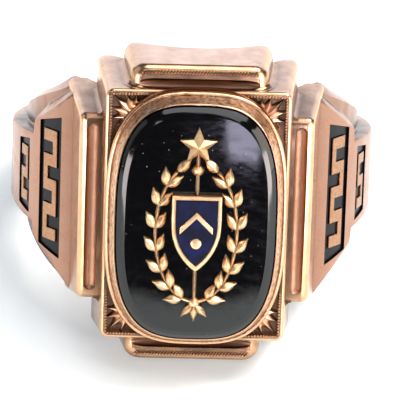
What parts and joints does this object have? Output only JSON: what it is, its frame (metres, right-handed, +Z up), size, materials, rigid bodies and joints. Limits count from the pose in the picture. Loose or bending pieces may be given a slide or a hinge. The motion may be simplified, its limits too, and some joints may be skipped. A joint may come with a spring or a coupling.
{
  "type": "class ring",
  "caption": "Stepped gold class ring lying on its side, with a black oval stone carrying an applied gold crest, and enamelled fret panels on its shoulders.",
  "frame": {"origin": "centre of the resting ring's footprint box, at the floor it lies on", "axes": "-Y is the way the ring's face looks, tipped up from the floor; X runs across the face; +Z is up from the floor the ring lies on"},
  "size_m": [0.0236, 0.0287, 0.0199],
  "materials": {
    "gold": "worn satin 10-karat gold, rose to yellow",
    "crest_gold": "brushed 10-karat gold",
    "onyx": "polished black onyx",
    "blue_enamel": "glossy dark blue enamel",
    "black_enamel": "glossy black enamel"
  },
  "bodies": {
    "root": {"ring_body": "gold", "stone": "onyx", "crest": "crest_gold", "crest_enamel": "blue_enamel", "enamel_left_near": "black_enamel", "enamel_left_far": "black_enamel", "enamel_right_near": "black_enamel", "enamel_right_far": "black_enamel"}
  },
  "joints": []
}
